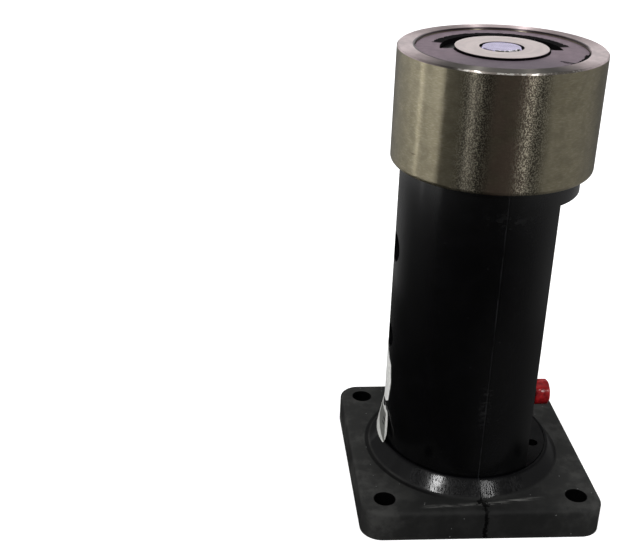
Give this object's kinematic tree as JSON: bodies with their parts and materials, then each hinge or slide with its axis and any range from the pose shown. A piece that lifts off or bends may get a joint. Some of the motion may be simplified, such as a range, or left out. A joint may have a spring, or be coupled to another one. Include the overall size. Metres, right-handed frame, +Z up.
{
  "type": "holding electromagnet",
  "caption": "Round pot electromagnet with a sprung centre pin on a tall moulded pedestal with a square flange, a side flat with a push button and corner fixing holes.",
  "frame": {"origin": "centre of the flange's underside, on the surface that the pedestal stands on", "axes": "+Z up along the magnet's axis, +X towards the push button, -Y to the front of the picture"},
  "size_m": [0.09, 0.09, 0.1725],
  "materials": {
    "housing_black": "satin moulded black",
    "nickel_steel": "nickel-plated, turned",
    "core_steel": "ground pole face",
    "bobbin_plastic": "natural nylon",
    "copper_wire": "enamelled winding",
    "potting_resin": "black casting resin",
    "cover_plastic": "purple-grey, matt",
    "pin_chrome": "polished",
    "spring_steel": "drawn wire",
    "screw_steel": "zinc-plated",
    "black_screw": "black oxide",
    "button_red": "translucent red, glossy",
    "switch_plastic": "black",
    "tab_brass": "tinned brass",
    "block_plastic": "light grey",
    "lead_red": "insulated lead",
    "lead_black": "insulated lead",
    "diode_black": "moulded",
    "label_paper": "blank, light grey"
  },
  "bodies": {
    "pedestal": {"housing_left": "housing_black", "housing_right": "housing_black", "magnet_shell": "nickel_steel", "pole_core": "core_steel", "coil_bobbin": "bobbin_plastic", "coil_winding": "copper_wire", "potting_ring": "potting_resin", "pole_cover": "cover_plastic", "ejector_spring": "spring_steel", "magnet_washer": "screw_steel", "magnet_screw": "black_screw", "joint_screw_upper": "black_screw", "joint_screw_lower": "black_screw", "switch_body": "switch_plastic", "switch_tab_1": "tab_brass", "switch_tab_2": "tab_brass", "button_nut": "screw_steel", "button_washer": "screw_steel", "button_spring": "spring_steel", "terminal_block": "block_plastic", "block_screw": "screw_steel", "clamp_screw_1": "screw_steel", "clamp_screw_2": "screw_steel", "suppressor_diode": "diode_black", "coil_lead_1": "lead_red", "coil_lead_2": "lead_black", "switch_lead_1": "lead_red", "switch_lead_2": "lead_black", "side_label": "label_paper"},
    "ejector": {"ejector_pin": "pin_chrome", "ejector_clip": "spring_steel"},
    "button": {"button_cap": "button_red", "button_plunger": "switch_plastic"}
  },
  "joints": [
    {"name": "button_press", "type": "slide", "parent": "pedestal", "child": "button", "axis": [-1, 0, 0], "range_m": [0, 0.002], "stiffness_N_per_m": 400, "springref_m": -0.001, "deforming": ["button_spring"]},
    {"name": "ejector_press", "type": "slide", "parent": "pedestal", "child": "ejector", "axis": [0, 0, -1], "range_m": [0, 0.0025], "stiffness_N_per_m": 800, "springref_m": -0.002, "deforming": ["ejector_spring"]}
  ]
}
